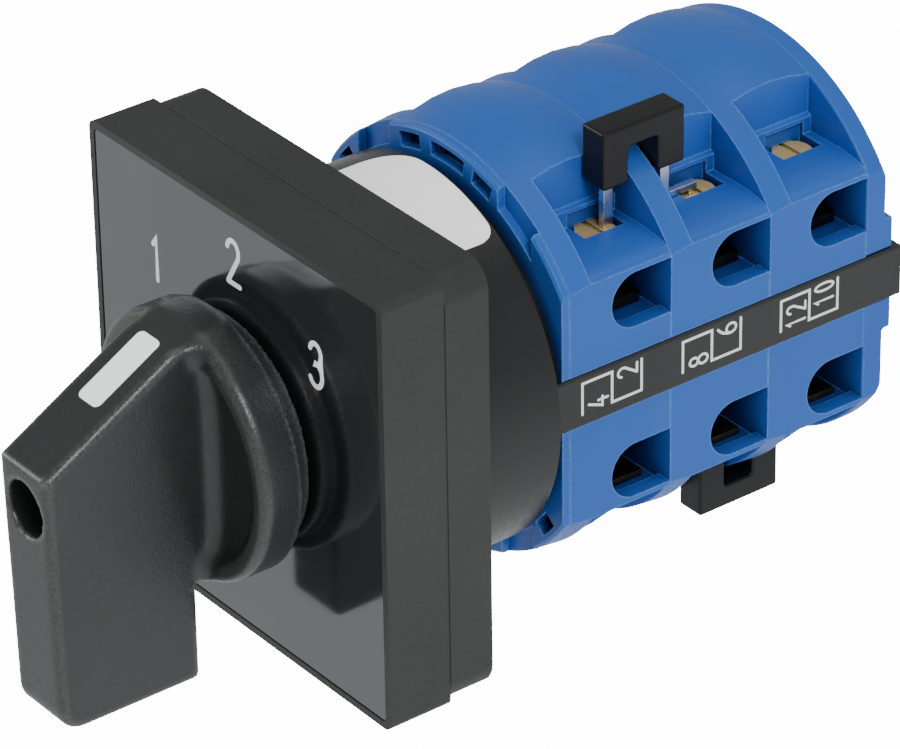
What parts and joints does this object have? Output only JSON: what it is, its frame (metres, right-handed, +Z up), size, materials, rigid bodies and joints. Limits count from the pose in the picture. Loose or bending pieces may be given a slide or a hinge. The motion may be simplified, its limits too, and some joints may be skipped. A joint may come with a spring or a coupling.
{
  "type": "manual transfer switch",
  "caption": "Panel-mounted rotary cam switch: pointer handle on a square front plate, square base and latch drum behind the panel, and a stack of blue contact stages with side terminals",
  "frame": {"origin": "On the shaft axis, in the plane where the front frame meets the base: the plane of the panel's front side", "axes": "+X to the right seen from the front, +Y into the panel along the shaft, +Z up"},
  "size_m": [0.0482, 0.095, 0.05],
  "materials": {
    "handle_black": "fine-grained satin moulding",
    "marker_white": "smooth inlay",
    "frame_black": "fine-grained matt moulding",
    "plate_grey": "glossy",
    "drum_black": "semi-gloss moulding",
    "label_white": "smooth blank sticker",
    "body_blue": "semi-gloss moulding",
    "strip_black": "satin",
    "link_black": "semi-gloss moulding",
    "nylon": "smooth moulding",
    "steel": "zinc plated",
    "silver": "tin plated",
    "brass": "bare"
  },
  "bodies": {
    "housing": {"bezel_frame": "frame_black", "legend_plate": "plate_grey", "frame_inserts": "brass", "mounting_base": "frame_black", "base_screws": "steel", "latch_housing": "drum_black", "detent_springs": "steel", "stop_pins": "steel", "rating_label": "label_white", "front_cover": "body_blue", "rear_cover": "body_blue", "tie_bolts": "steel", "tie_nuts": "steel", "marking_strip_right": "strip_black", "marking_strip_left": "strip_black", "link_cover_top": "link_black", "link_cover_bottom": "link_black", "link_bar_top": "silver", "link_bar_bottom": "silver", "contact_springs": "steel", "stage_housing_1": "body_blue", "terminal_plates_1": "brass", "terminal_clamps_1": "steel", "terminal_screws_1": "brass", "stage_housing_2": "body_blue", "terminal_plates_2": "brass", "terminal_clamps_2": "steel", "terminal_screws_2": "brass", "stage_housing_3": "body_blue", "terminal_plates_3": "brass", "terminal_clamps_3": "steel", "terminal_screws_3": "brass"},
    "rotor": {"handle": "handle_black", "handle_marker": "marker_white", "handle_screw": "steel", "shaft": "steel", "star_wheel": "nylon", "cam_1": "nylon", "cam_2": "nylon", "cam_3": "nylon"},
    "upper_1": {"plunger_upper_1": "nylon", "bridge_upper_1": "brass"},
    "lower_1": {"plunger_lower_1": "nylon", "bridge_lower_1": "brass"},
    "upper_2": {"plunger_upper_2": "nylon", "bridge_upper_2": "brass"},
    "lower_2": {"plunger_lower_2": "nylon", "bridge_lower_2": "brass"},
    "upper_3": {"plunger_upper_3": "nylon", "bridge_upper_3": "brass"},
    "lower_3": {"plunger_lower_3": "nylon", "bridge_lower_3": "brass"}
  },
  "joints": [
    {"name": "handle_turn", "type": "hinge", "parent": "housing", "child": "rotor", "pos_m": [0, 0, 0], "axis": [0, 1, 0], "range_deg": [-45, 45], "deforming": ["detent_springs", "contact_springs"]},
    {"name": "upper_slide_1", "type": "slide", "parent": "housing", "child": "upper_1", "axis": [0, 0, 1], "range_m": [-0.00115, 0.00115], "deforming": ["contact_springs"]},
    {"name": "lower_slide_1", "type": "slide", "parent": "housing", "child": "lower_1", "axis": [0, 0, -1], "range_m": [-0.00115, 0.00115], "deforming": ["contact_springs"]},
    {"name": "upper_slide_2", "type": "slide", "parent": "housing", "child": "upper_2", "axis": [0, 0, 1], "range_m": [-0.00115, 0.00115], "deforming": ["contact_springs"]},
    {"name": "lower_slide_2", "type": "slide", "parent": "housing", "child": "lower_2", "axis": [0, 0, -1], "range_m": [-0.00115, 0.00115], "deforming": ["contact_springs"]},
    {"name": "upper_slide_3", "type": "slide", "parent": "housing", "child": "upper_3", "axis": [0, 0, 1], "range_m": [-0.00115, 0.00115], "deforming": ["contact_springs"]},
    {"name": "lower_slide_3", "type": "slide", "parent": "housing", "child": "lower_3", "axis": [0, 0, -1], "range_m": [-0.00115, 0.00115], "deforming": ["contact_springs"]}
  ],
  "couplings": [
    {"joint": "upper_slide_1", "follows": "handle_turn", "m_per_rad": 0.00145},
    {"joint": "lower_slide_1", "follows": "handle_turn", "m_per_rad": 0.00145},
    {"joint": "upper_slide_2", "follows": "handle_turn", "m_per_rad": 0.00145},
    {"joint": "lower_slide_2", "follows": "handle_turn", "m_per_rad": 0.00145},
    {"joint": "upper_slide_3", "follows": "handle_turn", "m_per_rad": 0.00145},
    {"joint": "lower_slide_3", "follows": "handle_turn", "m_per_rad": 0.00145}
  ]
}
